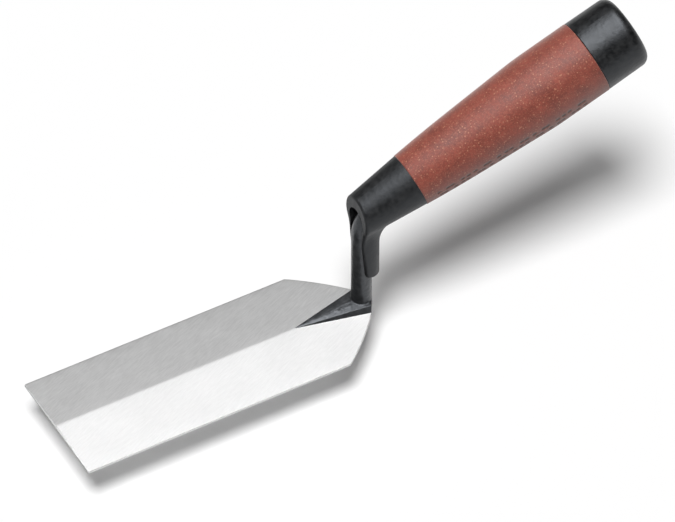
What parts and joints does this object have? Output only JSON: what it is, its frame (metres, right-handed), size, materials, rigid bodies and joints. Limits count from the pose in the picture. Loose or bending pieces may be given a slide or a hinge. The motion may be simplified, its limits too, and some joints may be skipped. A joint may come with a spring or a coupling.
{
  "type": "margin trowel",
  "caption": "Narrow rectangular trowel blade with a cranked shank and a tapered two-material handle, for pointing, edging and mixing mortar in tight places.",
  "frame": {"origin": "on the flat working face, at the centre of the blade's rectangular part", "axes": "+X along the blade from the toe towards the heel and the handle, +Y across the blade, +Z out of the blade's upper side"},
  "size_m": [0.2486, 0.0508, 0.1036],
  "materials": {
    "blade_steel": "ground steel with a fine slanting grind grain",
    "forging_lacquer": "dark satin lacquer over the forged boss and shank",
    "core_plastic": "satin black moulded plastic",
    "grip_elastomer": "matt brick-red soft grip with pale speckles",
    "cap_plastic": "satin black moulded plastic"
  },
  "bodies": {
    "root": {"forged_blade": "blade_steel", "handle_core": "core_plastic", "grip_sleeve": "grip_elastomer", "end_cap": "cap_plastic"}
  },
  "joints": []
}
